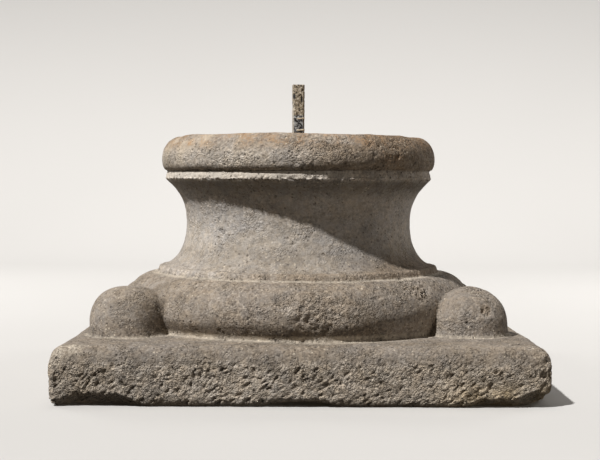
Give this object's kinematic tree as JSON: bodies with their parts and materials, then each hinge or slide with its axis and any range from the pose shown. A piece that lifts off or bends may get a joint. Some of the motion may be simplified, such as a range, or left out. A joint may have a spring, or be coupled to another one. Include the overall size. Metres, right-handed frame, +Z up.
{
  "type": "column base",
  "caption": "Weathered stone column base with a broad plinth, corner knobs, two rolls, a deep hollow and an iron dowel in its bed.",
  "frame": {"origin": "middle of the underside of the plinth", "axes": "+Z up through the bed for the shaft, +X along the plinth's longer side, the pictured front faces -Y"},
  "size_m": [0.448, 0.401, 0.2997],
  "materials": {
    "stone": "matt, weathered, rough-dressed on the plinth's faces",
    "iron": "dull dark iron with pale crust"
  },
  "bodies": {
    "root": {"stone_base": "stone", "iron_dowel": "iron"}
  },
  "joints": []
}
